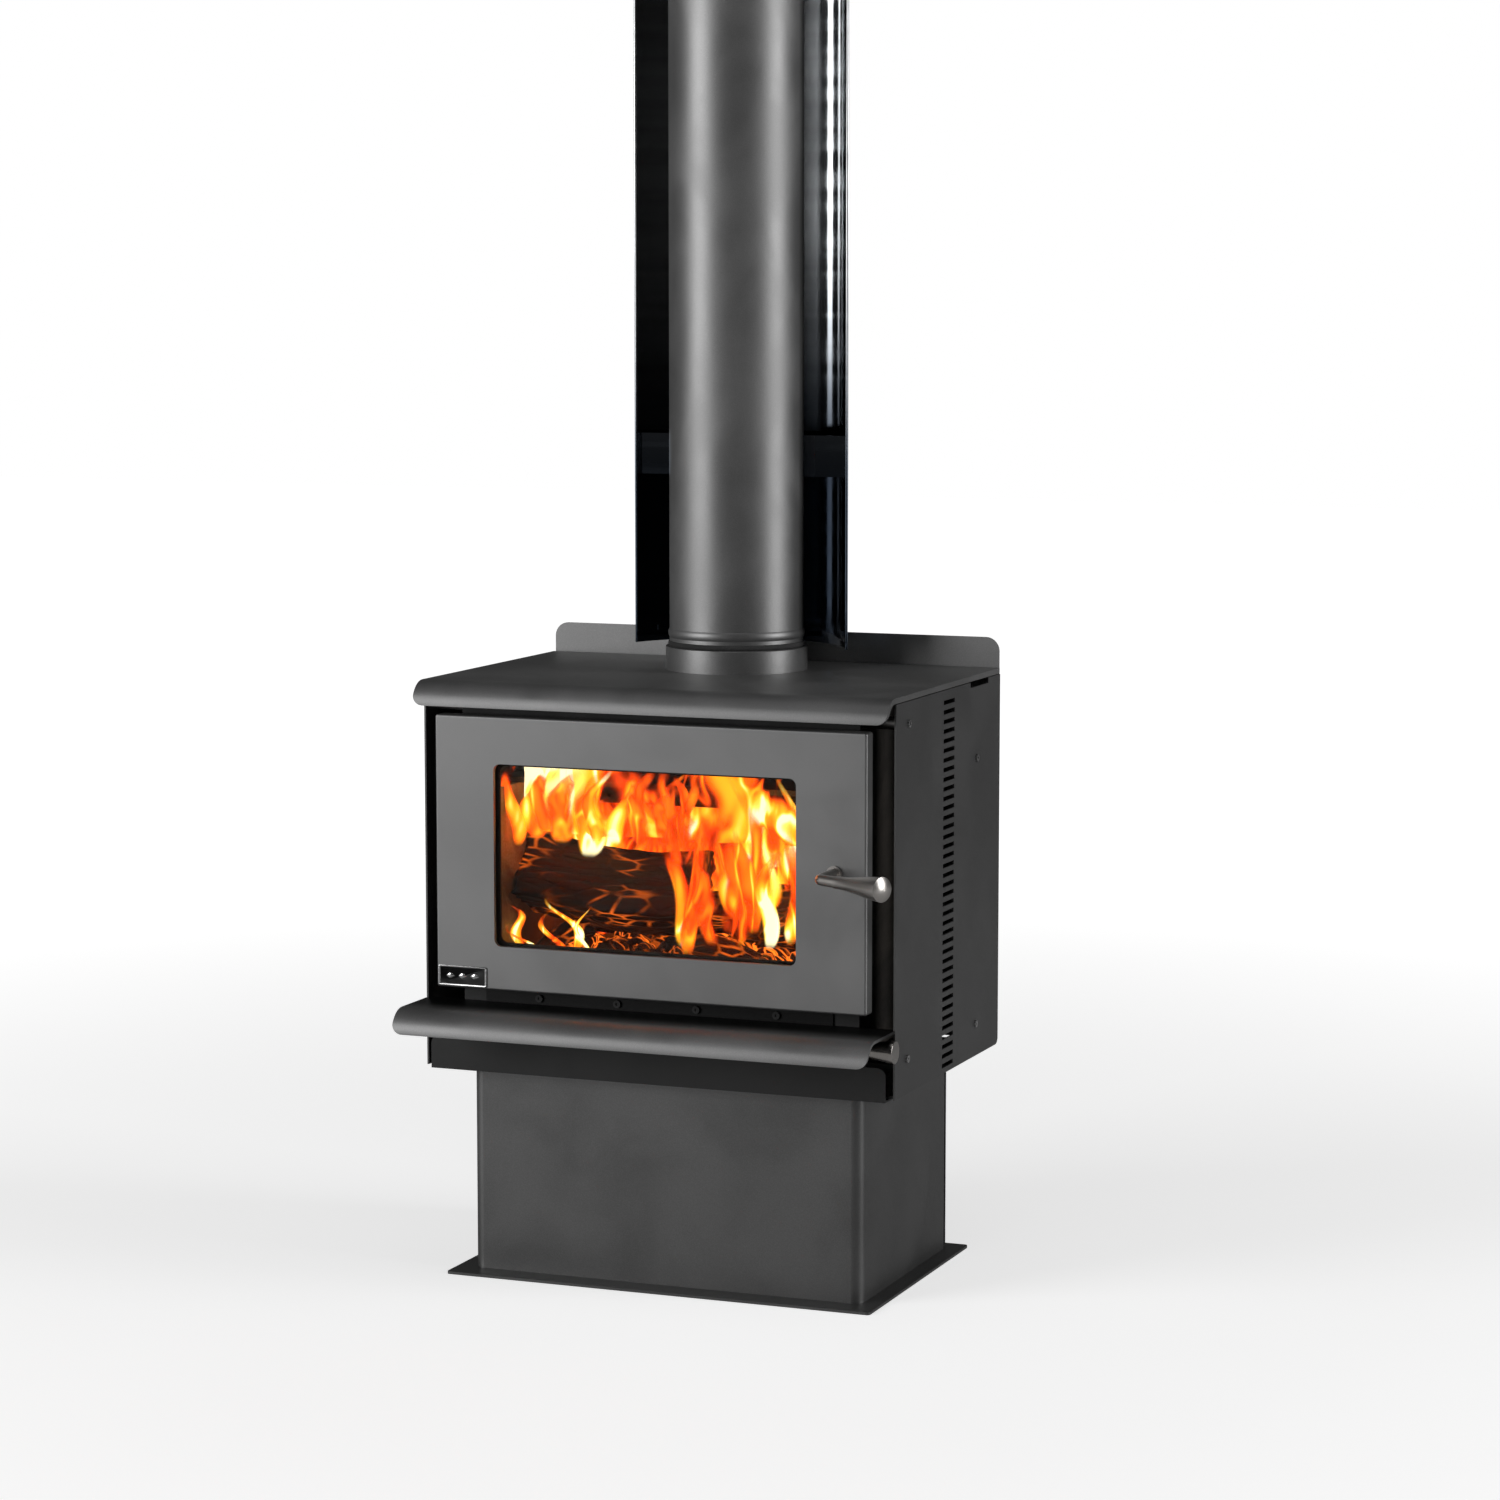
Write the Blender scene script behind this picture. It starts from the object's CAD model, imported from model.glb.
"""Finishes, fire and fine metalwork of a wood burning stove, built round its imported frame."""
import logging
import math
import random
from dataclasses import dataclass, field
from enum import Enum
from typing import Any, Callable, Mapping, Sequence

import bmesh
import bpy
from mathutils import Matrix, Vector, noise


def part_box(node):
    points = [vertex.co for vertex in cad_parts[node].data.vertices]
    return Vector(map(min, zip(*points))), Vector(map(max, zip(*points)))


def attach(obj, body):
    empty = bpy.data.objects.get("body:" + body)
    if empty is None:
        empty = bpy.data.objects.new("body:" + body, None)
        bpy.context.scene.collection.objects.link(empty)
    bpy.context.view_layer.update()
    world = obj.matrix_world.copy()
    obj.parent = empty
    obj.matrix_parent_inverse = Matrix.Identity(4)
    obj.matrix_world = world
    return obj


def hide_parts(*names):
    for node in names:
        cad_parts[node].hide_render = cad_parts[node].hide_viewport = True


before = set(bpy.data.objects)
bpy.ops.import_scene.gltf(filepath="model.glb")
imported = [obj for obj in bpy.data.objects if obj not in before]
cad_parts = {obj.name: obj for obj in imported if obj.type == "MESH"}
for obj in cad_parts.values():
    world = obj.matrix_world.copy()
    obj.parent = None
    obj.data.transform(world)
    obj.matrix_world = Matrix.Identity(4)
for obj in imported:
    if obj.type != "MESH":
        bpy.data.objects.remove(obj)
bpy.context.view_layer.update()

LOG = logging.getLogger("stove")
Colour = tuple[float, float, float, float]


class Body(Enum):
    """The bodies that a piece may ride on."""

    ROOT = "root"
    DOOR = "door"


class Axis(Enum):
    """World axes that a shape may be turned about."""

    X = "X"
    Y = "Y"
    Z = "Z"

    def turn(self, degrees: float) -> Matrix:
        """Gives a turn about this axis."""
        return Matrix.Rotation(math.radians(degrees), 4, self.value)


def shade(value: float, warm: float = 0.0) -> Colour:
    """Gives a grey, made warmer or cooler by a small share.

    Args:
        value: Linear brightness.
        warm: Share added to red and taken from blue.

    Returns:
        The colour with full alpha.
    """
    return (value * (1 + warm), value, value * (1 - warm), 1.0)


# ---- node wiring ---------------------------------------------------------------------------------
class Wiring:
    """Adds and joins the nodes of one shader tree."""

    def __init__(self, tree: bpy.types.NodeTree) -> None:
        """Keeps the tree that is being wired."""
        self.tree = tree

    def add(self, kind: str, inputs: Mapping[Any, Any] | None = None, **settings: Any) -> bpy.types.Node:
        """Adds a node and sets or links its inputs.

        Args:
            kind: Shader node type without its ShaderNode prefix.
            inputs: Socket name or index against a value, or a socket to link.
            **settings: Node properties.

        Returns:
            The new node.
        """
        node = self.tree.nodes.new("ShaderNode" + kind)
        for key, value in settings.items():
            setattr(node, key, value)
        for key, value in (inputs or {}).items():
            if isinstance(value, bpy.types.NodeSocket):
                self.tree.links.new(value, node.inputs[key])
            else:
                node.inputs[key].default_value = value
        return node

    def object_coordinates(self) -> bpy.types.NodeSocket:
        """Gives the Object coordinates, in metres."""
        return self.add("TexCoord").outputs["Object"]

    def stretched(self, vector: bpy.types.NodeSocket, factors: Sequence[float]) -> bpy.types.NodeSocket:
        """Scales a vector by a factor for each axis."""
        return self.add("VectorMath", {0: vector, 1: factors}, operation="MULTIPLY").outputs[0]

    def noise(self, vector: Any, scale: Any, detail: float = 2.0, distortion: float = 0.0) -> bpy.types.Node:
        """Adds a noise texture on a vector."""
        values = {"Vector": vector, "Scale": scale, "Detail": detail, "Distortion": distortion}
        return self.add("TexNoise", values)

    def maths(self, operation: str, first: Any, second: Any = 0.0) -> bpy.types.NodeSocket:
        """Gives the result of a Math node."""
        return self.add("Math", {0: first, 1: second}, operation=operation).outputs[0]

    def remap(self, value: Any, low: float, high: float, start: float = 0.0, end: float = 1.0) -> Any:
        """Maps low..high smoothly to start..end, and keeps to those ends.

        Args:
            value: Socket to map.
            low: Value that gives start.
            high: Value that gives end.
            start: Result at low.
            end: Result at high.

        Returns:
            The mapped socket.
        """
        values = {"Value": value, "From Min": low, "From Max": high, "To Min": start, "To Max": end}
        return self.add("MapRange", values, interpolation_type="SMOOTHSTEP").outputs["Result"]

    def mix(self, share: Any, first: Any, second: Any) -> bpy.types.NodeSocket:
        """Mixes two colours by a share."""
        return self.add("Mix", {0: share, 6: first, 7: second}, data_type="RGBA").outputs[2]

    def ramp(self, value: Any, stops: Sequence[tuple[float, Colour]]) -> bpy.types.NodeSocket:
        """Colours a value through a ramp.

        Args:
            value: Socket from 0 to 1.
            stops: Positions and their colours, in rising order.

        Returns:
            The colour socket.
        """
        node = self.add("ValToRGB", {"Fac": value})
        elements = node.color_ramp.elements
        while len(elements) < len(stops):
            elements.new(1.0)
        for element, (position, colour) in zip(elements, stops):
            element.position = position
            element.color = colour
        return node.outputs["Color"]

    def bump(self, height: Any, strength: float, distance: float) -> bpy.types.NodeSocket:
        """Gives the normal of a height, in metres of depth."""
        values = {"Height": height, "Strength": strength, "Distance": distance}
        return self.add("Bump", values).outputs["Normal"]


# ---- shared effects ------------------------------------------------------------------------------
@dataclass(frozen=True)
class Effect:
    """A node group, built once and placed in each material with its own values."""

    name: str
    inputs: Mapping[str, float]
    outputs: Mapping[str, str]
    wire: Callable[[Wiring, bpy.types.Node], Mapping[str, bpy.types.NodeSocket]]

    def group(self) -> bpy.types.NodeTree:
        """Returns the group, made the first time that it is asked for."""
        known = bpy.data.node_groups.get(self.name)
        if known:
            return known
        tree = bpy.data.node_groups.new(self.name, "ShaderNodeTree")
        tree.interface.new_socket("Vector", in_out="INPUT", socket_type="NodeSocketVector")
        for name, default in self.inputs.items():
            socket = tree.interface.new_socket(name, in_out="INPUT", socket_type="NodeSocketFloat")
            socket.default_value = default
        for name, kind in self.outputs.items():
            tree.interface.new_socket(name, in_out="OUTPUT", socket_type="NodeSocket" + kind)
        results = self.wire(Wiring(tree), tree.nodes.new("NodeGroupInput"))
        end = tree.nodes.new("NodeGroupOutput")
        for name, socket in results.items():
            tree.links.new(socket, end.inputs[name])
        return tree

    def place(self, wiring: Wiring, vector: Any, **values: float) -> bpy.types.Node:
        """Places the group in a material.

        Args:
            wiring: Wiring of the material.
            vector: Coordinates that the effect follows.
            **values: Values of the group's inputs, with _ for a space.

        Returns:
            The group node.
        """
        node = wiring.tree.nodes.new("ShaderNodeGroup")
        node.node_tree = self.group()
        wiring.tree.links.new(vector, node.inputs["Vector"])
        for name, value in values.items():
            node.inputs[name.replace("_", " ")].default_value = value
        return node


def wire_grain(w: Wiring, start: bpy.types.Node) -> Mapping[str, bpy.types.NodeSocket]:
    """Sprayed paint: a fine grain, a softer orange peel, and broad cloudiness."""
    vector = start.outputs["Vector"]
    fine = w.noise(vector, start.outputs["Scale"], 3.0).outputs["Fac"]
    peel_scale = w.maths("MULTIPLY", start.outputs["Scale"], 0.16)
    peel = w.noise(vector, peel_scale, 1.0).outputs["Fac"]
    cloud = w.noise(vector, start.outputs["Cloud Scale"], 4.0, 0.4).outputs["Fac"]
    height = w.maths("ADD", fine, w.maths("MULTIPLY", peel, 0.8))
    speckle = w.remap(fine, 0.36, 0.7)
    return {"Height": height, "Speckle": speckle, "Cloud": w.remap(cloud, 0.3, 0.7)}


def wire_hairlines(w: Wiring, start: bpy.types.Node) -> Mapping[str, bpy.types.NodeSocket]:
    """Fine parallel lines across the vertical, with broader bands among them."""
    vector = start.outputs["Vector"]
    parts = w.add("SeparateXYZ", {0: vector})
    along = w.maths("MULTIPLY", parts.outputs["Z"], start.outputs["Stretch"])
    squeezed = w.add("CombineXYZ", {0: parts.outputs["X"], 1: parts.outputs["Y"], 2: along}).outputs[0]
    fine = w.noise(squeezed, start.outputs["Scale"], 2.0).outputs["Fac"]
    band_scale = w.maths("MULTIPLY", start.outputs["Scale"], 0.12)
    band = w.noise(squeezed, band_scale, 2.0).outputs["Fac"]
    height = w.maths("ADD", fine, w.maths("MULTIPLY", band, 1.5))
    return {"Height": height, "Mask": w.remap(band, 0.35, 0.65)}


def wire_grit(w: Wiring, start: bpy.types.Node) -> Mapping[str, bpy.types.NodeSocket]:
    """Gritty pressed or cast surface with open pits and soft soot stains."""
    vector, scale = start.outputs["Vector"], start.outputs["Scale"]
    cells = w.add("TexVoronoi", {"Vector": vector, "Scale": scale}, feature="F1").outputs["Distance"]
    grit = w.noise(vector, w.maths("MULTIPLY", scale, 2.4), 4.0).outputs["Fac"]
    pits = w.remap(cells, 0.12, 0.4)
    stain = w.noise(vector, start.outputs["Stain Scale"], 5.0, 0.8).outputs["Fac"]
    height = w.maths("ADD", w.maths("MULTIPLY", pits, 0.6), grit)
    return {"Height": height, "Speckle": w.remap(grit, 0.4, 0.62), "Stain": w.remap(stain, 0.36, 0.64)}


def wire_flame(w: Wiring, start: bpy.types.Node) -> Mapping[str, bpy.types.NodeSocket]:
    """Rising heat: drawn-out licks bent by a slow swirl, with thin bright folds among them."""
    vector = start.outputs["Vector"]
    swirl = w.noise(vector, start.outputs["Swirl Scale"], 2.0).outputs["Color"]
    centred = w.add("VectorMath", {0: swirl, 1: (0.5, 0.5, 0.5)}, operation="SUBTRACT").outputs[0]
    pushed = w.add("VectorMath", {0: centred, "Scale": start.outputs["Swirl"]}, operation="SCALE").outputs[0]
    bent = w.add("VectorMath", {0: vector, 1: pushed}, operation="ADD").outputs[0]
    drawn = w.stretched(bent, (1.0, 1.0, 0.34))
    body = w.noise(drawn, start.outputs["Scale"], 2.0, 0.5).outputs["Fac"]
    fold = w.noise(drawn, w.maths("MULTIPLY", start.outputs["Scale"], 1.7), 1.5, 0.9).outputs["Fac"]
    crease = w.maths("ABSOLUTE", w.maths("SUBTRACT", fold, 0.5))
    bright = w.remap(crease, 0.0, 0.09, 1.0, 0.0)
    heat = w.maths("ADD", w.remap(body, 0.3, 0.72), w.maths("MULTIPLY", bright, 0.3))
    return {"Heat": heat}


def wire_bark(w: Wiring, start: bpy.types.Node) -> Mapping[str, bpy.types.NodeSocket]:
    """Furrows along a log, the cracks across them, and char scale between."""
    vector, scale = start.outputs["Vector"], start.outputs["Scale"]
    along = w.stretched(vector, (0.16, 1.0, 1.0))
    furrow = w.noise(along, scale, 5.0, 0.9).outputs["Fac"]
    plates = w.add("TexVoronoi", {"Vector": w.stretched(vector, (0.45, 1.0, 1.0)), "Scale": scale},
                   feature="DISTANCE_TO_EDGE").outputs["Distance"]
    crack = w.remap(plates, 0.0, 0.12, 1.0, 0.0)
    glow = w.noise(vector, start.outputs["Glow Scale"], 3.0, 0.5).outputs["Fac"]
    height = w.maths("SUBTRACT", furrow, w.maths("MULTIPLY", crack, 0.35))
    return {"Height": height, "Crack": crack, "Furrow": w.remap(furrow, 0.35, 0.68),
            "Glow": w.remap(glow, 0.46, 0.7)}


GRAIN = Effect("paint_grain", {"Scale": 1500.0, "Cloud Scale": 9.0},
               {"Height": "Float", "Speckle": "Float", "Cloud": "Float"}, wire_grain)
HAIRLINES = Effect("hairlines", {"Scale": 6.0, "Stretch": 90.0},
                   {"Height": "Float", "Mask": "Float"}, wire_hairlines)
GRIT = Effect("grit", {"Scale": 220.0, "Stain Scale": 9.0},
              {"Height": "Float", "Speckle": "Float", "Stain": "Float"}, wire_grit)
FLAME = Effect("flame_licks", {"Scale": 14.0, "Swirl": 0.06, "Swirl Scale": 6.0},
               {"Heat": "Float"}, wire_flame)
BARK = Effect("bark", {"Scale": 70.0, "Glow Scale": 14.0},
              {"Height": "Float", "Crack": "Float", "Furrow": "Float", "Glow": "Float"}, wire_bark)

FIRE_COLOURS: tuple[tuple[float, Colour], ...] = (
    (0.0, (0.03, 0.001, 0.0, 1.0)),
    (0.22, (0.22, 0.008, 0.0, 1.0)),
    (0.42, (0.85, 0.075, 0.004, 1.0)),
    (0.6, (1.0, 0.21, 0.008, 1.0)),
    (0.78, (1.0, 0.5, 0.02, 1.0)),
    (0.9, (1.0, 0.82, 0.13, 1.0)),
    (1.0, (1.0, 0.97, 0.62, 1.0)),
)


# ---- finishes ------------------------------------------------------------------------------------
@dataclass(frozen=True)
class Finish:
    """A finish: a name, and the way that its material is wired."""

    name: str

    def wire(self, w: Wiring) -> dict[str, Any]:
        """Gives the Principled shader's inputs."""
        raise NotImplementedError

    def material(self) -> bpy.types.Material:
        """Returns the material, made the first time that it is asked for."""
        known = bpy.data.materials.get(self.name)
        if known:
            return known
        material = bpy.data.materials.new(self.name)
        material.use_nodes = True
        tree = material.node_tree
        tree.nodes.clear()
        w = Wiring(tree)
        shader = w.add("BsdfPrincipled", self.wire(w))
        w.add("OutputMaterial", {"Surface": shader.outputs[0]})
        return material


@dataclass(frozen=True)
class Paint(Finish):
    """Heat-proof metallic paint, sprayed, with a fine grain."""

    dark: Colour = shade(0.1)
    light: Colour = shade(0.14)
    metallic: float = 0.8
    roughness: tuple[float, float] = (0.36, 0.44)
    grain: float = 1500.0
    depth: float = 0.00012

    def wire(self, w: Wiring) -> dict[str, Any]:
        """Mixes the two shades by cloud and speckle, and roughens with them."""
        grain = GRAIN.place(w, w.object_coordinates(), Scale=self.grain)
        speckle = w.maths("MULTIPLY", grain.outputs["Speckle"], 0.55)
        mixed = w.maths("ADD", speckle, w.maths("MULTIPLY", grain.outputs["Cloud"], 0.45))
        rough = w.remap(grain.outputs["Cloud"], 0.0, 1.0, *self.roughness)
        return {
            "Base Color": w.mix(mixed, self.dark, self.light),
            "Roughness": rough,
            "Metallic": self.metallic,
            "Normal": w.bump(grain.outputs["Height"], 0.35, self.depth),
        }


@dataclass(frozen=True)
class Steel(Finish):
    """Bare metal with fine lines, from satin to polished."""

    dark: Colour = shade(0.4)
    light: Colour = shade(0.55)
    roughness: tuple[float, float] = (0.2, 0.3)
    lines: float = 6.0
    stretch: float = 90.0
    depth: float = 0.00003

    def wire(self, w: Wiring) -> dict[str, Any]:
        """Lets the lines change colour, gloss and normal together."""
        lines = HAIRLINES.place(w, w.object_coordinates(), Scale=self.lines, Stretch=self.stretch)
        return {
            "Base Color": w.mix(lines.outputs["Mask"], self.dark, self.light),
            "Roughness": w.remap(lines.outputs["Mask"], 0.0, 1.0, *self.roughness),
            "Metallic": 1.0,
            "Normal": w.bump(lines.outputs["Height"], 0.3, self.depth),
        }


@dataclass(frozen=True)
class HeatTinted(Steel):
    """Polished sheet that heat has tinted dark low down."""

    tint: Colour = (0.05, 0.062, 0.08, 1.0)
    fade: tuple[float, float] = (0.85, 1.2)

    def wire(self, w: Wiring) -> dict[str, Any]:
        """Fades the tint out up the sheet."""
        sockets = super().wire(w)
        height = w.add("SeparateXYZ", {0: w.object_coordinates()}).outputs["Z"]
        sockets["Base Color"] = w.mix(w.remap(height, *self.fade), self.tint, sockets["Base Color"])
        return sockets


@dataclass(frozen=True)
class SmokedPaint(Paint):
    """Metallic paint that smoke has blackened towards the door's lower edge."""

    smoke: Colour = shade(0.012)
    fade: tuple[float, float] = (-0.228, -0.182)

    def wire(self, w: Wiring) -> dict[str, Any]:
        """Fades the smoke in from front to back."""
        sockets = super().wire(w)
        depth = w.add("SeparateXYZ", {0: w.object_coordinates()}).outputs["Y"]
        sockets["Base Color"] = w.mix(w.remap(depth, *self.fade), sockets["Base Color"], self.smoke)
        return sockets


@dataclass(frozen=True)
class Gritty(Finish):
    """Dull mineral or sooted surface with pits, speckle and stains."""

    body: Colour = shade(0.3)
    speckle: Colour = shade(0.4)
    stain: Colour = shade(0.05)
    stain_share: float = 0.6
    scale: float = 220.0
    depth: float = 0.0006
    roughness: float = 0.9

    def wire(self, w: Wiring) -> dict[str, Any]:
        """Lays speckle on the body and soot over both."""
        grit = GRIT.place(w, w.object_coordinates(), Scale=self.scale)
        speckled = w.mix(grit.outputs["Speckle"], self.body, self.speckle)
        share = w.maths("MULTIPLY", grit.outputs["Stain"], self.stain_share)
        low = self.roughness - 0.12
        return {
            "Base Color": w.mix(share, speckled, self.stain),
            "Roughness": w.remap(grit.outputs["Stain"], 0.0, 1.0, low, self.roughness),
            "Normal": w.bump(grit.outputs["Height"], 0.5, self.depth),
        }


@dataclass(frozen=True)
class Glass(Finish):
    """Lightly smoked heat-proof glass with a trace of haze."""

    clear: Colour = shade(0.7)
    haze: Colour = (0.66, 0.63, 0.58, 1.0)

    def wire(self, w: Wiring) -> dict[str, Any]:
        """Tints the glass where the haze lies."""
        grain = GRAIN.place(w, w.object_coordinates(), Scale=300.0, Cloud_Scale=7.0)
        return {
            "Base Color": w.mix(grain.outputs["Cloud"], self.clear, self.haze),
            "Roughness": 0.0,
            "IOR": 1.2,
            "Transmission Weight": 1.0,
        }


@dataclass(frozen=True)
class PaleFloor(Finish):
    """Matt pale floor that looks white, and whiter further off, without lighting the stove."""

    near: Colour = shade(0.62)
    far: Colour = shade(0.68)
    glow: tuple[float, float] = (0.42, 0.95)
    reach: tuple[float, float] = (0.7, 5.0)

    def wire(self, w: Wiring) -> dict[str, Any]:
        """Adds the glow for what is seen directly, and leaves it out of reflections and bounces."""
        place = w.object_coordinates()
        away = w.add("VectorMath", {0: place}, operation="LENGTH").outputs["Value"]
        glow = w.remap(away, *self.reach, *self.glow)
        seen = w.add("LightPath").outputs["Is Camera Ray"]
        cloud = w.noise(place, 1.5, 3.0).outputs["Fac"]
        return {
            "Base Color": w.mix(cloud, self.near, self.far),
            "Roughness": 0.95,
            "Specular IOR Level": 0.0,
            "Emission Color": shade(1.0),
            "Emission Strength": w.maths("MULTIPLY", glow, seen),
        }


@dataclass(frozen=True)
class Flame(Finish):
    """Glowing gas on a tongue or a veil, hottest low down and near a hot centre."""

    scale: float = 16.0
    swirl: float = 0.05
    heat: float = 0.1
    cover: tuple[float, float] = (0.15, 0.5)
    hot_centre: tuple[float, float, float] = (-0.17, 0.0, 0.5)
    hot_reach: float = 0.12
    strength: float = 1.75

    def wire(self, w: Wiring) -> dict[str, Any]:
        """Fades the sheet at its sides, root and tip by its own UV map."""
        place = w.object_coordinates()
        licks = FLAME.place(w, place, Scale=self.scale, Swirl=self.swirl)
        unwrapped = w.add("SeparateXYZ", {0: w.add("TexCoord").outputs["UV"]})
        side = w.maths("ABSOLUTE", w.maths("SUBTRACT", unwrapped.outputs["X"], 0.5))
        edge = w.remap(side, 0.26, 0.5, 1.0, 0.0)
        tip = w.remap(unwrapped.outputs["Y"], 0.5, 1.0, 1.0, 0.0)
        root = w.remap(unwrapped.outputs["Y"], 0.0, 0.12)
        away = w.add("VectorMath", {0: place, 1: self.hot_centre}, operation="DISTANCE").outputs["Value"]
        near = w.remap(away, 0.0, self.hot_reach, 0.32, 0.0)
        fall = w.maths("MULTIPLY", w.maths("SUBTRACT", tip, 1.0), 0.3)
        heat = w.maths("ADD", w.maths("ADD", licks.outputs["Heat"], self.heat), w.maths("ADD", near, fall))
        edged = w.maths("MULTIPLY", heat, w.remap(side, 0.0, 0.5, 1.0, 0.72))
        veil = w.remap(edged, *self.cover)
        alpha = w.maths("MULTIPLY", w.maths("MULTIPLY", veil, edge), w.maths("MULTIPLY", tip, root))
        return {
            "Base Color": w.ramp(edged, FIRE_COLOURS),
            "Roughness": 1.0,
            "Specular IOR Level": 0.0,
            "Emission Color": w.ramp(edged, FIRE_COLOURS),
            "Emission Strength": self.strength,
            "Alpha": alpha,
        }


@dataclass(frozen=True)
class Charred(Finish):
    """Burnt wood that still glows in its cracks."""

    char: Colour = (0.006, 0.002, 0.0015, 1.0)
    wood: Colour = (0.055, 0.012, 0.006, 1.0)
    ember: Colour = (1.0, 0.16, 0.01, 1.0)
    scale: float = 70.0
    depth: float = 0.003
    glow: float = 1.5

    def wire(self, w: Wiring) -> dict[str, Any]:
        """Follows the log's own UV map, so that furrows run along it."""
        bark = BARK.place(w, w.add("TexCoord").outputs["UV"], Scale=self.scale)
        lit = w.maths("MULTIPLY", bark.outputs["Crack"], bark.outputs["Glow"])
        return {
            "Base Color": w.mix(bark.outputs["Furrow"], self.char, self.wood),
            "Roughness": w.remap(bark.outputs["Furrow"], 0.0, 1.0, 0.55, 0.85),
            "Emission Color": w.mix(lit, shade(0.0), self.ember),
            "Emission Strength": self.glow,
            "Normal": w.bump(bark.outputs["Height"], 0.9, self.depth),
        }


STOVE_PAINT = Paint("stove_paint_charcoal", dark=shade(0.18), light=shade(0.25), metallic=0.82,
                    roughness=(0.42, 0.5))
PEDESTAL_PAINT = Paint("pedestal_paint_charcoal", dark=shade(0.105), light=shade(0.15), metallic=0.8,
                       roughness=(0.4, 0.48))
CASING_PAINT = Paint("casing_paint_dark", dark=shade(0.085), light=shade(0.12), metallic=0.7,
                     roughness=(0.42, 0.5))
SHELF_PAINT = SmokedPaint("shelf_paint_smoked", dark=shade(0.18), light=shade(0.25), metallic=0.82,
                          roughness=(0.42, 0.5))
BLACK_PAINT = Paint("apron_paint_black", dark=shade(0.008), light=shade(0.014), metallic=0.2,
                    roughness=(0.5, 0.6))
SOOTED = Gritty("soot_on_steel", body=shade(0.035, 0.12), speckle=shade(0.06, 0.2), stain=shade(0.008),
                scale=400.0, depth=0.0002, roughness=0.82)
FIREBRICK = Gritty("firebrick_sooted", body=(0.42, 0.3, 0.19, 1.0), speckle=(0.55, 0.43, 0.3, 1.0),
                   stain=(0.05, 0.035, 0.028, 1.0), stain_share=0.75)
ASH = Gritty("wood_ash", body=shade(0.2, 0.05), speckle=shade(0.34, 0.04), stain=shade(0.03, 0.1),
             scale=300.0, depth=0.0008)
ROPE_FIBRE = Gritty("rope_glass_fibre", body=shade(0.3, 0.04), speckle=shade(0.45, 0.04), stain=shade(0.1),
                    scale=900.0, depth=0.0003)
SCREW_ZINC = Steel("screw_bright_zinc", dark=shade(0.32), light=shade(0.5), roughness=(0.25, 0.36),
                   lines=40.0)
BARE_STEEL = Steel("fixing_steel", dark=shade(0.2, 0.03), light=shade(0.34, 0.02), roughness=(0.32, 0.45),
                   lines=30.0)
POLISHED = HeatTinted("polished_stainless", dark=shade(0.56, -0.02), light=shade(0.68, -0.02),
                      roughness=(0.05, 0.1), lines=5.0, stretch=70.0)
HANDLE_METAL = Steel("handle_satin_nickel", dark=shade(0.32, 0.06), light=shade(0.46, 0.05),
                     roughness=(0.2, 0.28), lines=25.0, stretch=4.0)
BADGE_RIM = Steel("badge_rim", dark=shade(0.5), light=shade(0.7), roughness=(0.16, 0.24), lines=60.0)
BADGE_FIELD = Paint("badge_field", dark=shade(0.02), light=shade(0.04), metallic=0.4, grain=2600.0)
CERAMIC_GLASS = Glass("window_pane_clear")
CEMENT = Gritty("fire_cement", body=shade(0.02), speckle=shade(0.04), stain=shade(0.006), scale=500.0)


# ---- mesh building -------------------------------------------------------------------------------
def sweep_smooth(mesh: bpy.types.Mesh) -> None:
    """Shades every face smooth."""
    mesh.polygons.foreach_set("use_smooth", [True] * len(mesh.polygons))


def new_piece(
    name: str,
    bm: bmesh.types.BMesh,
    finishes: Sequence[Finish],
    body: Body,
    stands_for: Sequence[str] = (),
) -> bpy.types.Object:
    """Turns a bmesh into a finished piece that rides on a body.

    Args:
        name: Piece name.
        bm: Mesh in its final place, in metres. It is freed.
        finishes: Finishes for the mesh's material indices.
        body: Body that it rides on.
        stands_for: CAD nodes that it replaces.

    Returns:
        The new object.
    """
    bmesh.ops.recalc_face_normals(bm, faces=bm.faces)
    mesh = bpy.data.meshes.new(name)
    bm.to_mesh(mesh)
    bm.free()
    sweep_smooth(mesh)
    piece = bpy.data.objects.new(name, mesh)
    bpy.context.scene.collection.objects.link(piece)
    for finish in finishes:
        mesh.materials.append(finish.material())
    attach(piece, body.value)
    if stands_for:
        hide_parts(*stands_for)
    LOG.info("made %s, %d faces, on %s", name, len(mesh.polygons), body.value)
    return piece


def dress(finish: Finish, *nodes: str) -> None:
    """Gives CAD nodes a finish.

    Args:
        finish: Finish for every slot of each node.
        *nodes: CAD node names.
    """
    for name in nodes:
        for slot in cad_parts[name].material_slots:
            slot.material = finish.material()
        LOG.info("dressed %s in %s", name, finish.name)


def merge_in(target: bmesh.types.BMesh, part: bmesh.types.BMesh) -> None:
    """Adds a part's geometry to a mesh and frees the part."""
    spare = bpy.data.meshes.new("spare")
    part.to_mesh(spare)
    part.free()
    target.from_mesh(spare)
    bpy.data.meshes.remove(spare)


def write_uv(bm: bmesh.types.BMesh, place: Callable[[Vector, Vector], tuple[float, float]]) -> None:
    """Writes a UV map from where each corner lies.

    Args:
        bm: Mesh to unwrap.
        place: Gives (u, v) from a corner and the middle of its face.
    """
    layer = bm.loops.layers.uv.new("along")
    for face in bm.faces:
        middle = face.calc_center_median()
        for loop in face.loops:
            loop[layer].uv = place(loop.vert.co, middle)


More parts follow.
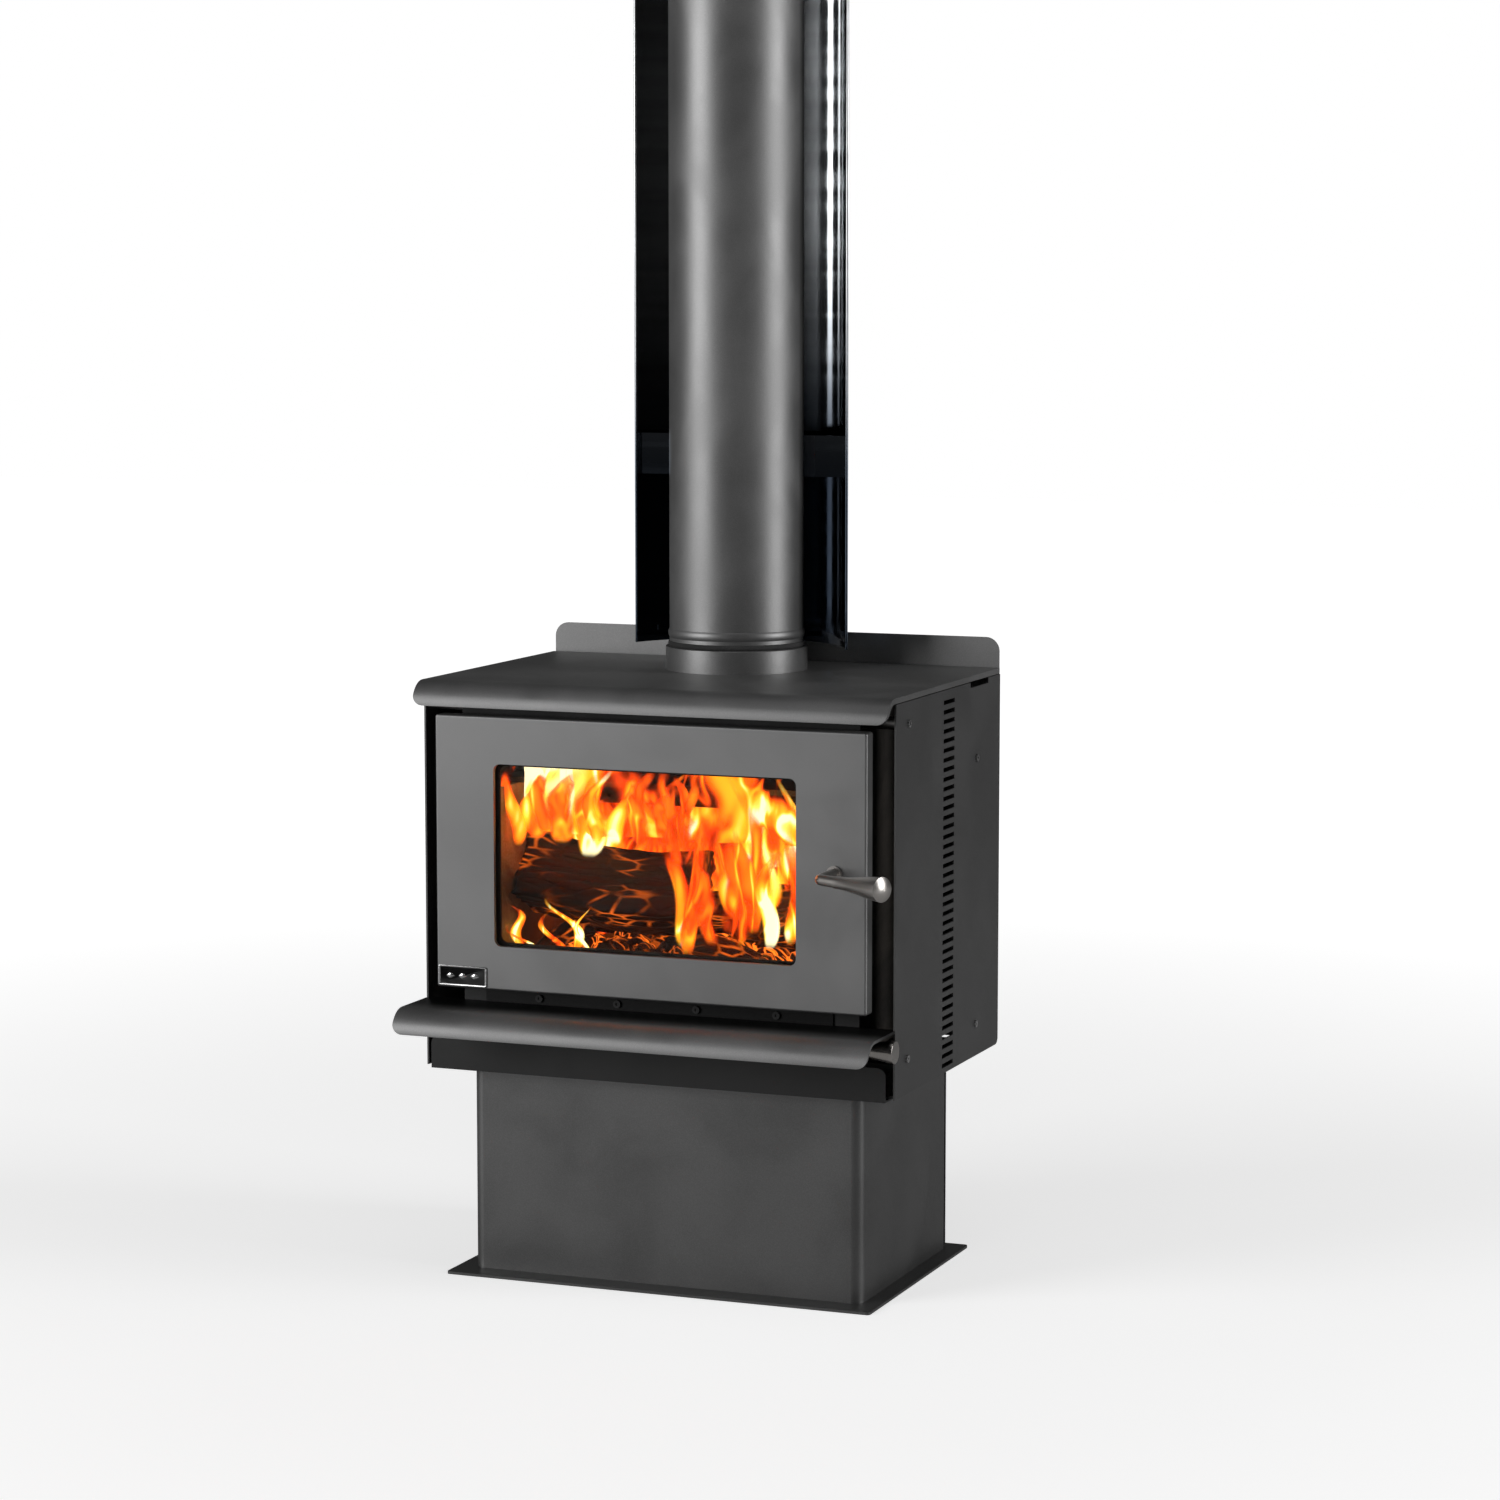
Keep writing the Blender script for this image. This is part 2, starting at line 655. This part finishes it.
# ---- fire ----------------------------------------------------------------------------------------
@dataclass
class SplitLog:
    """A charred log with one or two split faces, lying in the fire."""

    name: str
    centre: tuple[float, float, float]
    length: float
    radius: float
    turn: float
    tilt: float
    seed: int
    flats: tuple[tuple[float, float], ...] = ((-2.3, 0.62), (-0.5, 0.7))
    sides: int = 72
    rings: int = 60
    bark_depth: float = 0.0045
    end_rings: int = 6
    end_ring_share: float = 0.14

    def reach(self, angle: float) -> float:
        """Gives the section's radius at an angle, cut back to the split faces.

        Args:
            angle: Angle about the log's axis, in radians.

        Returns:
            Radius in metres.
        """
        reach = self.radius
        for facing, share in self.flats:
            slant = math.cos(angle - facing)
            if slant > 0.15:
                reach = min(reach, self.radius * share / slant)
        return reach

    def shape(self, bm: bmesh.types.BMesh) -> None:
        """Shapes the round bar into a split section with furrowed bark and a bent axis.

        Args:
            bm: Bar along Z, centred on the origin.
        """
        offset = Vector((self.seed * 3.1, self.seed * 1.7, 0.0))
        for vert in bm.verts:
            x, y, z = vert.co
            angle = math.atan2(y, x)
            share = math.hypot(x, y) / self.radius
            around = Vector((math.cos(angle), math.sin(angle), z * 2.2)) * 2.4 + offset
            lump = noise.fractal(around, 1.0, 2.0, 3) * 0.1
            groove = Vector((math.cos(angle) * 9, math.sin(angle) * 9, z * 16)) + offset
            furrow = abs(noise.noise(groove)) * self.bark_depth
            reach = self.reach(angle) * (1 + lump) - furrow
            sway = 0.008 * math.sin(z / self.length * 4 + self.seed)
            rough = noise.noise(vert.co * 160 + offset) * 0.0025
            vert.co = Vector((math.cos(angle) * reach * share + sway, math.sin(angle) * reach * share, z))
            if abs(z) > self.length * 0.49:
                vert.co.z += rough * 2 + noise.noise(vert.co * 40 + offset) * 0.006

    def build(self) -> bpy.types.Object:
        """Builds the log as one closed piece.

        Returns:
            The finished piece.
        """
        bm = bmesh.new()
        bmesh.ops.create_cone(bm, cap_ends=True, cap_tris=False, segments=self.sides, radius1=self.radius,
                              radius2=self.radius, depth=self.length)
        ends = [face for face in bm.faces if len(face.verts) > 4]
        for _ in range(self.end_rings):
            bmesh.ops.inset_region(bm, faces=ends, thickness=self.radius * self.end_ring_share,
                                   use_even_offset=True)
        bmesh.ops.poke(bm, faces=ends)
        half = self.length / 2
        staves = [e for e in bm.edges if abs(e.verts[0].co.z - e.verts[1].co.z) > half]
        bmesh.ops.subdivide_edges(bm, edges=staves, cuts=self.rings, use_grid_fill=True)
        self.shape(bm)

        def unwrap(corner: Vector, middle: Vector) -> tuple[float, float]:
            """Runs u along the log and v round it, without a jump inside a face."""
            base = math.atan2(middle.y, middle.x)
            step = (math.atan2(corner.y, corner.x) - base + math.pi) % math.tau - math.pi
            return corner.z, (base + step) * self.radius

        write_uv(bm, unwrap)
        lie = Axis.Z.turn(self.turn) @ Axis.Y.turn(self.tilt) @ Axis.Y.turn(90)
        bmesh.ops.transform(bm, matrix=Matrix.Translation(self.centre) @ lie, verts=bm.verts)
        finish = Charred(self.name + "_char")
        return new_piece(self.name, bm, [finish], Body.ROOT)


@dataclass
class EmberBed:
    """Ash and glowing coals that cover the brick floor."""

    count: int = 130
    coal: tuple[float, float] = (0.007, 0.016)
    ash_height: float = 0.012
    margin: float = 0.012
    seed: int = 7

    def build(self, low: Vector, high: Vector) -> list[bpy.types.Object]:
        """Builds the ash and the coals.

        Args:
            low: Lowest corner of the hearth's free space.
            high: Highest corner of it.

        Returns:
            The ash piece and the coal piece.
        """
        return [self.ash(low, high), self.coals(low, high)]

    def ash(self, low: Vector, high: Vector) -> bpy.types.Object:
        """Heaps a closed bed of ash that thins out towards its rim."""
        bm = bmesh.new()
        bmesh.ops.create_grid(bm, x_segments=56, y_segments=40, size=1.0)
        size = (high - low) / 2
        middle = (high + low) / 2
        bmesh.ops.solidify(bm, geom=bm.faces[:], thickness=-0.5)
        for vert in bm.verts:
            x, y, z = vert.co
            rim = max(0.0, 1 - max(abs(x), abs(y)) ** 6)
            lump = 0.55 + 0.9 * noise.noise(Vector((x * 3.2, y * 3.2, self.seed)))
            ripple = 0.25 * noise.noise(Vector((x * 12, y * 12, self.seed)))
            top = self.ash_height * (0.12 + rim * max(0.0, lump + ripple))
            vert.co = Vector((
                middle.x + x * (size.x - self.margin),
                middle.y + y * (size.y - self.margin),
                low.z + 0.0004 + (top if z > 0.1 or z < -0.1 else 0.0),
            ))
        return new_piece("ash_bed", bm, [ASH], Body.ROOT)

    def coals(self, low: Vector, high: Vector) -> bpy.types.Object:
        """Scatters faceted coals, thicker towards the middle of the fire."""
        rng = random.Random(self.seed)
        bm = bmesh.new()
        for index in range(self.count):
            coal = bmesh.new()
            bmesh.ops.create_icosphere(coal, subdivisions=2, radius=1.0)
            size = rng.uniform(*self.coal)
            for vert in coal.verts:
                bulge = 1 + 0.35 * noise.noise(vert.co * 1.3 + Vector((index, 0.0, 0.0)))
                vert.co *= size * bulge
            spot = Vector((
                rng.triangular(low.x + 0.02, high.x - 0.02),
                rng.triangular(low.y + 0.015, high.y - 0.03, low.y + 0.04),
                low.z + size * 0.72 + rng.random() * self.ash_height,
            ))
            spin = Matrix.Rotation(rng.uniform(0, math.tau), 4, "Z") @ Matrix.Rotation(rng.random(), 4, "X")
            squash = Matrix.Diagonal((1.35, 0.9, 0.72, 1.0))
            bmesh.ops.transform(coal, matrix=Matrix.Translation(spot) @ spin @ squash, verts=coal.verts)
            merge_in(bm, coal)
        write_uv(bm, lambda corner, middle: (corner.x + corner.z, corner.y))
        glowing = Charred("glowing_coal", char=(0.012, 0.003, 0.002, 1.0), wood=(0.09, 0.03, 0.02, 1.0),
                          scale=120.0, glow=3.8, depth=0.001)
        return new_piece("glowing_coals", bm, [glowing], Body.ROOT)


@dataclass
class FlameGroup:
    """Several tongues of flame that rise from one stretch of the fire."""

    name: str
    count: int
    x: tuple[float, float]
    y: tuple[float, float]
    root: tuple[float, float]
    height: tuple[float, float]
    width: tuple[float, float]
    lean: tuple[float, float] = (-0.03, 0.03)
    ceiling: float = 0.534
    curl: float = 0.018
    turns: float = 0.9
    heat: float = 0.1
    seed: int = 1
    scale: float = 16.0
    across: int = 16
    up: int = 30

    def tongue(self, rng: random.Random, share: float) -> bmesh.types.BMesh:
        """Shapes one ball into a flat, curling tongue that narrows to a tip.

        Args:
            rng: Seeded source of the tongue's own sizes.
            share: Place along the group, from 0 to 1.

        Returns:
            The tongue, unwrapped, in place.
        """
        root = Vector((
            self.x[0] + (self.x[1] - self.x[0]) * share + rng.uniform(-0.01, 0.01),
            rng.uniform(*self.y),
            rng.uniform(*self.root),
        ))
        height = min(rng.uniform(*self.height), self.ceiling - root.z)
        width = rng.uniform(*self.width)
        lean = rng.uniform(*self.lean)
        phase = rng.uniform(0, math.tau)
        twist = rng.uniform(-0.9, 0.9)
        bm = bmesh.new()
        bmesh.ops.create_uvsphere(bm, u_segments=self.across, v_segments=self.up, radius=1.0)
        write_uv(bm, lambda corner, middle: (
            0.5 + 0.5 * corner.x / max(math.sqrt(max(1 - corner.z ** 2, 0.0)), 0.05),
            0.5 + 0.5 * corner.z,
        ))
        for vert in bm.verts:
            rise = 0.5 + 0.5 * vert.co.z
            ball = math.sqrt(max(1 - vert.co.z ** 2, 0.0))
            belly = 1.45 * rise ** 0.4 * (1 - rise) ** 0.8 + 0.02
            reach = belly * width / max(ball, 0.08)
            sway = self.curl * rise * math.sin(math.tau * self.turns * rise + phase)
            angle = twist * rise
            flat = Vector((vert.co.x * reach, vert.co.y * reach * 0.12))
            vert.co = Vector((
                root.x + lean * rise ** 1.6 + sway + flat.x * math.cos(angle) - flat.y * math.sin(angle),
                root.y + 0.4 * sway + flat.x * math.sin(angle) * 0.4 + flat.y * math.cos(angle),
                root.z + height * rise,
            ))
        return bm

    def build(self) -> bpy.types.Object:
        """Builds the group's tongues as one piece.

        Returns:
            The finished piece.
        """
        rng = random.Random(self.seed)
        bm = bmesh.new()
        for index in range(self.count):
            merge_in(bm, self.tongue(rng, (index + 0.5) / self.count))
        finish = Flame(self.name + "_gas", heat=self.heat, scale=self.scale)
        return new_piece(self.name, bm, [finish], Body.ROOT)


@dataclass
class FlameVeil:
    """A broad folded veil of flame that fills the space behind the tongues."""

    name: str
    x: tuple[float, float]
    y: float
    z: tuple[float, float]
    fold: float = 0.008
    thickness: float = 0.002
    heat: float = 0.1
    cover: tuple[float, float] = (0.0, 0.35)
    scale: float = 13.0
    swirl: float = 0.09

    def build(self) -> bpy.types.Object:
        """Builds the veil as a thin closed sheet in soft folds.

        Returns:
            The finished piece.
        """
        bm = bmesh.new()
        bmesh.ops.create_grid(bm, x_segments=72, y_segments=36, size=1.0)
        for vert in bm.verts:
            u, v = 0.5 + 0.5 * vert.co.x, 0.5 + 0.5 * vert.co.y
            wave = self.fold * math.sin(u * 17 + 2.2 * math.sin(v * 4))
            vert.co = Vector((
                self.x[0] + (self.x[1] - self.x[0]) * u,
                self.y + wave,
                self.z[0] + (self.z[1] - self.z[0]) * v,
            ))
        bmesh.ops.solidify(bm, geom=bm.faces[:], thickness=self.thickness)
        write_uv(bm, lambda corner, middle: (
            0.5,
            0.1 + 0.5 * (corner.z - self.z[0]) / (self.z[1] - self.z[0]),
        ))
        finish = Flame(self.name + "_gas", heat=self.heat, scale=self.scale, swirl=self.swirl,
                       cover=self.cover)
        return new_piece(self.name, bm, [finish], Body.ROOT)


@dataclass
class Fire:
    """Everything that burns: logs, ember bed, veils and tongues of flame."""

    logs: list[SplitLog] = field(default_factory=lambda: [
        SplitLog("split_log_front", (-0.098, -0.038, 0.424), 0.205, 0.05, 4.0, 2.0, 1),
        SplitLog("split_log_right", (0.085, 0.02, 0.388), 0.16, 0.036, -34.0, -8.0, 2),
        SplitLog("split_log_rear", (-0.03, 0.075, 0.392), 0.3, 0.04, 3.0, 1.0, 3),
        SplitLog("kindling_left", (-0.15, -0.075, 0.362), 0.09, 0.014, 62.0, -14.0, 4),
        SplitLog("kindling_right", (0.04, -0.07, 0.36), 0.13, 0.013, -12.0, 4.0, 5),
    ])
    flames: list[FlameGroup] = field(default_factory=lambda: [
        FlameGroup("flames_rear", 9, (-0.17, 0.14), (0.04, 0.075), (0.36, 0.42), (0.12, 0.18),
                   (0.03, 0.05), heat=0.02, seed=11),
        FlameGroup("flames_middle", 8, (-0.17, 0.12), (-0.01, 0.005), (0.38, 0.44), (0.11, 0.16),
                   (0.024, 0.045), heat=0.06, seed=23),
        FlameGroup("flames_left_front", 6, (-0.185, -0.09), (-0.105, -0.09), (0.462, 0.49), (0.08, 0.12),
                   (0.014, 0.03), lean=(-0.01, 0.03), ceiling=0.594, heat=0.26, seed=31),
        FlameGroup("flames_right_front", 9, (0.0, 0.15), (-0.105, -0.08), (0.346, 0.4), (0.12, 0.22),
                   (0.012, 0.026), lean=(-0.03, 0.02), ceiling=0.594, heat=0.1, seed=47),
        FlameGroup("flames_over_log", 5, (-0.08, 0.02), (-0.1, -0.086), (0.455, 0.48), (0.09, 0.13),
                   (0.01, 0.022), lean=(-0.02, 0.03), ceiling=0.594, heat=0.12, seed=59),
        FlameGroup("flames_low_left", 5, (-0.185, -0.08), (-0.108, -0.1), (0.345, 0.36), (0.04, 0.07),
                   (0.005, 0.011), lean=(-0.035, -0.015), heat=0.3, seed=67, scale=26.0),
    ])
    veils: list[FlameVeil] = field(default_factory=lambda: [
        FlameVeil("flame_veil_rear", (-0.19, 0.16), 0.115, (0.342, 0.534), heat=0.08),
        FlameVeil("flame_veil_front", (-0.19, 0.16), -0.085, (0.49, 0.594), heat=-0.04, cover=(0.2, 0.75)),
    ])

    def build(self) -> None:
        """Builds the fire inside the lined space."""
        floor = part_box("floor_bricks")[1].z
        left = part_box("side_brick_left")[1].x
        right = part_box("side_brick_right")[0].x
        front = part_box("log_retainer")[1].y
        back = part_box("rear_brick")[0].y
        EmberBed().build(Vector((left, front, floor)), Vector((right, back, floor)))
        for part in (*self.logs, *self.veils, *self.flames):
            part.build()


# ---- stove ---------------------------------------------------------------------------------------
@dataclass
class Pedestal:
    """Floor plate, folded pedestal and the fixings under the firebox."""

    def dress(self) -> None:
        """Gives the pedestal its finishes."""
        dress(PEDESTAL_PAINT, "base_plate", "pedestal_shell", "pedestal_rear_panel", "casing_base_pan")
        dress(SCREW_ZINC, "rear_panel_screws", "pedestal_bolts")


@dataclass
class Casing:
    """Side panels, cooktop and rear sheet."""

    def dress(self) -> None:
        """Gives the casing its finishes."""
        dress(CASING_PAINT, "casing_side_left", "casing_side_right")
        dress(STOVE_PAINT, "top_plate", "rear_heat_shield")
        dress(SCREW_ZINC, "casing_side_screws")
        dress(BARE_STEEL, "panel_standoffs", "top_plate_spacers")


@dataclass
class Firebox:
    """Welded firebox with its bricks, baffle and air parts."""

    def dress(self) -> None:
        """Gives the firebox its finishes."""
        dress(SOOTED, "firebox_shell", "plenum_plate", "baffle_plate", "secondary_air_tubes",
              "log_retainer", "airwash_channel", "support_rails")
        dress(BLACK_PAINT, "firebox_front_frame")
        dress(FIREBRICK, "floor_bricks", "side_brick_left", "side_brick_right", "rear_brick")


@dataclass
class RopeSeal:
    """Braided rope pressed into the channel behind the door."""

    strands: int = 3
    strand_reach: float = 0.41
    strand_radius: float = 0.5
    lay: float = 0.016
    steps_per_turn: int = 8
    corner: float = 0.012

    def route(self, low: Vector, high: Vector, count: int) -> list[tuple[Vector, Vector]]:
        """Walks the rounded rectangle at even steps.

        Args:
            low: Lowest corner of the rope's middle line.
            high: Highest corner of it.
            count: Number of points.

        Returns:
            Each point with its outward direction.
        """
        r = self.corner
        width, height = high.x - low.x - 2 * r, high.z - low.z - 2 * r
        total = 2 * (width + height) + math.tau * r
        sides = (
            (Vector((low.x + r, 0, low.z)), Vector((1, 0, 0)), width),
            (Vector((high.x, 0, low.z + r)), Vector((0, 0, 1)), height),
            (Vector((high.x - r, 0, high.z)), Vector((-1, 0, 0)), width),
            (Vector((low.x, 0, high.z - r)), Vector((0, 0, -1)), height),
        )
        points = []
        for index in range(count):
            left = total * index / count
            for start, along, length in sides:
                outward = Vector((along.z, 0, -along.x))
                if left < length:
                    points.append((start + along * left, outward))
                    break
                left -= length
                if left < math.pi / 2 * r:
                    angle = left / r
                    turned = outward * math.cos(angle) + along * math.sin(angle)
                    points.append((start + along * length - outward * r + turned * r, turned))
                    break
                left -= math.pi / 2 * r
        return points

    def build(self) -> bpy.types.Object:
        """Twists the strands round the seal's route.

        Returns:
            The finished piece, which stands for the plain seal.
        """
        low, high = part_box("door_rope_seal")
        radius = (high.y - low.y) / 2
        inset = Vector((radius, 0, radius))
        run = 2 * ((high.x - low.x) + (high.z - low.z))
        turns = round(run / self.lay)
        route = self.route(low + inset, high - inset, turns * self.steps_per_turn)
        middle = (low.y + high.y) / 2
        strand = radius * self.strand_reach
        bm = bmesh.new()
        for index in range(self.strands):
            curve = bpy.data.curves.new("strand", "CURVE")
            curve.dimensions = "3D"
            curve.bevel_depth = radius * self.strand_radius
            curve.bevel_resolution = 1
            spline = curve.splines.new("POLY")
            spline.points.add(len(route) - 1)
            spline.use_cyclic_u = True
            for step, (point, outward) in enumerate(route):
                angle = math.tau * (step / self.steps_per_turn + index / self.strands)
                spot = point + outward * strand * math.cos(angle)
                spot.y = middle + strand * math.sin(angle)
                spline.points[step].co = (*spot, 1.0)
            holder = bpy.data.objects.new("strand", curve)
            mesh = bpy.data.meshes.new_from_object(holder)
            bm.from_mesh(mesh)
            bpy.data.objects.remove(holder)
            bpy.data.meshes.remove(mesh)
        bmesh.ops.remove_doubles(bm, verts=bm.verts, dist=1e-6)
        return new_piece("door_rope_braid", bm, [ROPE_FIBRE], Body.DOOR, ["door_rope_seal"])


@dataclass
class Badge:
    """Plain rimmed plate with three raised lozenges."""

    corner: float = 0.0022
    rim: float = 0.0016
    sink: float = 0.0006
    edge_round: float = 0.0004
    field_slope: float = 0.0003
    lozenges: int = 3
    lozenge: tuple[float, float] = (0.0062, 0.0042)
    pitch: float = 0.0145

    def build(self) -> bpy.types.Object:
        """Builds the plate with its sunk field and its lozenges.

        Returns:
            The finished piece, which stands for the plain plate.
        """
        low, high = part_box("badge_plate")
        size, middle = high - low, (high + low) / 2
        bm = bmesh.new()
        bmesh.ops.create_cube(bm, size=1.0)
        bmesh.ops.scale(bm, vec=size, verts=bm.verts)
        bmesh.ops.translate(bm, vec=middle, verts=bm.verts)
        uprights = [e for e in bm.edges if abs((e.verts[0].co - e.verts[1].co).y) > size.y / 2]
        bmesh.ops.bevel(bm, geom=uprights, offset=self.corner, segments=5, profile=0.5, affect="EDGES",
                        material=-1)
        bm.faces.ensure_lookup_table()
        face = min(bm.faces, key=lambda f: f.calc_center_median().y)
        outline = list(face.edges)
        bmesh.ops.bevel(bm, geom=outline, offset=self.edge_round, segments=2, profile=0.5, affect="EDGES",
                        material=-1)
        bm.faces.ensure_lookup_table()
        flat = [f for f in bm.faces if f.normal.y < -0.99]
        face = max(flat, key=lambda f: f.calc_area())
        bmesh.ops.inset_region(bm, faces=[face], thickness=self.rim, use_even_offset=True)
        bmesh.ops.inset_region(bm, faces=[face], thickness=self.field_slope, depth=-self.sink,
                               use_even_offset=True)
        face.material_index = 1
        for index in range(self.lozenges):
            x = middle.x + (index - (self.lozenges - 1) / 2) * self.pitch
            merge_in(bm, self.raised(Vector((x, low.y + self.sink, middle.z))))
        return new_piece("badge_rimmed", bm, [BADGE_RIM, BADGE_FIELD], Body.DOOR,
                         ["badge_plate"])

    def raised(self, spot: Vector) -> bmesh.types.BMesh:
        """Builds one raised lozenge with sloping sides.

        Args:
            spot: Middle of its foot.

        Returns:
            The closed lozenge.
        """
        part = bmesh.new()
        bmesh.ops.create_cone(part, cap_ends=True, segments=4, radius1=1.0, radius2=0.72, depth=1.0)
        stand = Axis.X.turn(90)
        scale = Matrix.Diagonal((self.lozenge[0], self.sink * 1.6, self.lozenge[1], 1.0))
        bmesh.ops.transform(part, matrix=Matrix.Translation(spot) @ scale @ stand, verts=part.verts)
        return part


@dataclass
class Door:
    """Door leaf with its window, seal, badge and hinge leaves."""

    seal: RopeSeal = field(default_factory=RopeSeal)
    badge: Badge = field(default_factory=Badge)

    def build(self) -> None:
        """Builds the rope and the badge."""
        self.seal.build()
        self.badge.build()

    def dress(self) -> None:
        """Gives the door its finishes."""
        dress(STOVE_PAINT, "door_panel")
        dress(CERAMIC_GLASS, "window_glass")
        dress(ROPE_FIBRE, "glass_gasket")
        dress(SOOTED, "glass_retainer", "seal_channel")
        dress(SCREW_ZINC, "retainer_screws")
        dress(BARE_STEEL, "hinge_leaf_lower", "hinge_leaf_upper", "hinge_lug_lower", "hinge_lug_upper",
              "hinge_pin_lower", "hinge_pin_upper", "latch_keeper")


@dataclass
class Handle:
    """Turning handle and its latch."""

    def dress(self) -> None:
        """Gives the handle its finishes."""
        dress(HANDLE_METAL, "handle_rod", "handle_grip", "handle_boss")
        dress(BARE_STEEL, "latch_tongue", "spindle_nut")


@dataclass
class ShelfAndAir:
    """Ash shelf, apron and the sliding air control."""

    def dress(self) -> None:
        """Gives the shelf and air parts their finishes."""
        dress(SHELF_PAINT, "ash_shelf")
        dress(BLACK_PAINT, "apron_panel", "shelf_screws", "apron_screws")
        dress(BARE_STEEL, "air_guides", "air_rod_guide", "air_slide", "air_rod")
        dress(HANDLE_METAL, "air_knob")


@dataclass
class Flue:
    """Flue pipe in its collar, with the polished shield behind it."""

    band_height: float = 0.006
    band_proud: float = 0.0016
    collar_to_pipe: float = 0.0045
    steps: int = 96

    def build(self) -> bpy.types.Object:
        """Spins the band of fire cement that closes the gap at the collar's mouth.

        Returns:
            The finished band.
        """
        low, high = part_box("flue_pipe")
        axis = (low + high) / 2
        pipe_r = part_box("flue_collar")[1].x - self.collar_to_pipe
        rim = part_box("flue_collar")[1].z
        bm = bmesh.new()
        profile = bmesh.ops.create_circle(bm, cap_ends=False, segments=16, radius=1.0)["verts"]
        stand = Axis.X.turn(90)
        scale = Matrix.Diagonal((self.band_proud, 1.0, self.band_height / 2, 1.0))
        spot = Matrix.Translation((axis.x + pipe_r, axis.y, rim + self.band_height / 2))
        bmesh.ops.transform(bm, matrix=spot @ scale @ stand, verts=profile)
        bmesh.ops.spin(bm, geom=bm.verts[:] + bm.edges[:], cent=(axis.x, axis.y, 0.0), axis=(0, 0, 1),
                       angle=math.tau, steps=self.steps, use_merge=True)
        bmesh.ops.remove_doubles(bm, verts=bm.verts, dist=1e-6)
        return new_piece("collar_cement_band", bm, [CEMENT], Body.ROOT)

    def dress(self) -> None:
        """Gives the flue its finishes."""
        dress(STOVE_PAINT, "flue_pipe", "flue_collar")
        dress(POLISHED, "flue_shield", "shield_brackets", "shield_rivets")


# ---- studio --------------------------------------------------------------------------------------
@dataclass(frozen=True)
class SoftBox:
    """A rectangular soft light that faces the stove."""

    name: str
    place: tuple[float, float, float]
    size: tuple[float, float]
    power: float
    aim: tuple[float, float, float] = (0.0, 0.0, 0.8)

    def build(self) -> None:
        """Hangs the light and turns it to its aim."""
        data = bpy.data.lights.new(self.name, "AREA")
        data.shape = "RECTANGLE"
        data.size, data.size_y = self.size
        data.energy = self.power
        lamp = bpy.data.objects.new(self.name, data)
        lamp.location = self.place
        lamp.rotation_euler = (Vector(self.aim) - Vector(self.place)).to_track_quat("-Z", "Y").to_euler()
        bpy.context.scene.collection.objects.link(lamp)


@dataclass
class Studio:
    """Pale floor, white surroundings, soft lights and the camera."""

    camera_place: tuple[float, float, float] = (1.717, -4.2256, 1.121)
    camera_pitch: float = 83.2
    camera_heading: float = 21.56
    lens: float = 99.62
    floor_reach: float = 14.0
    fill: float = 0.06
    floor_glow: tuple[float, float] = (0.62, 1.0)
    glow_reach: tuple[float, float] = (0.6, 4.0)
    lights: tuple[SoftBox, ...] = (
        SoftBox("key_left", (-4.3, -4.5, 2.0), (3.2, 3.8), 232.0),
        SoftBox("key_right", (6.0, 0.4, 2.0), (2.3, 3.8), 190.0),
        SoftBox("top_fill", (0.3, -1.2, 4.5), (2.6, 2.6), 14.0, (0.0, 0.0, 0.0)),
    )

    def build(self) -> None:
        """Builds the floor, the surroundings, the lights and the camera."""
        self.floor()
        self.surroundings()
        for light in self.lights:
            light.build()
        self.camera()

    def floor(self) -> None:
        """Lays a pale floor that counts as stage."""
        bm = bmesh.new()
        bmesh.ops.create_grid(bm, x_segments=8, y_segments=8, size=self.floor_reach)
        mesh = bpy.data.meshes.new("studio_floor")
        bm.to_mesh(mesh)
        bm.free()
        ground = bpy.data.objects.new("studio_floor", mesh)
        bpy.context.scene.collection.objects.link(ground)
        finish = PaleFloor("studio_floor_pale", glow=self.floor_glow, reach=self.glow_reach)
        mesh.materials.append(finish.material())

    def surroundings(self) -> None:
        """Shows white behind the stove, and lights it with a dimmer fill."""
        world = bpy.data.worlds.new("studio_white")
        world.use_nodes = True
        bpy.context.scene.world = world
        w = Wiring(world.node_tree)
        world.node_tree.nodes.clear()
        seen = w.add("LightPath").outputs["Is Camera Ray"]
        strength = w.remap(seen, 0.0, 1.0, self.fill, 1.0)
        backdrop = w.add("Background", {"Color": shade(1.0), "Strength": strength})
        w.add("OutputWorld", {"Surface": backdrop.outputs[0]})
        bpy.context.scene.view_settings.view_transform = "Standard"

    def camera(self) -> None:
        """Sets the camera at its viewing angle."""
        data = bpy.data.cameras.new("studio_camera")
        data.lens = self.lens
        eye = bpy.data.objects.new("studio_camera", data)
        eye.location = self.camera_place
        eye.rotation_euler = (math.radians(self.camera_pitch), 0.0, math.radians(self.camera_heading))
        bpy.context.scene.collection.objects.link(eye)
        bpy.context.scene.camera = eye


def main() -> None:
    """Builds and dresses the stove in order."""
    logging.basicConfig(level=logging.INFO, format="%(name)s: %(message)s")
    Studio().build()
    Pedestal().dress()
    Casing().dress()
    Firebox().dress()
    Fire().build()
    door = Door()
    door.build()
    door.dress()
    Handle().dress()
    ShelfAndAir().dress()
    flue = Flue()
    flue.build()
    flue.dress()
    bpy.context.scene.cycles.transparent_max_bounces = 48


if __name__ == "__main__":
    main()
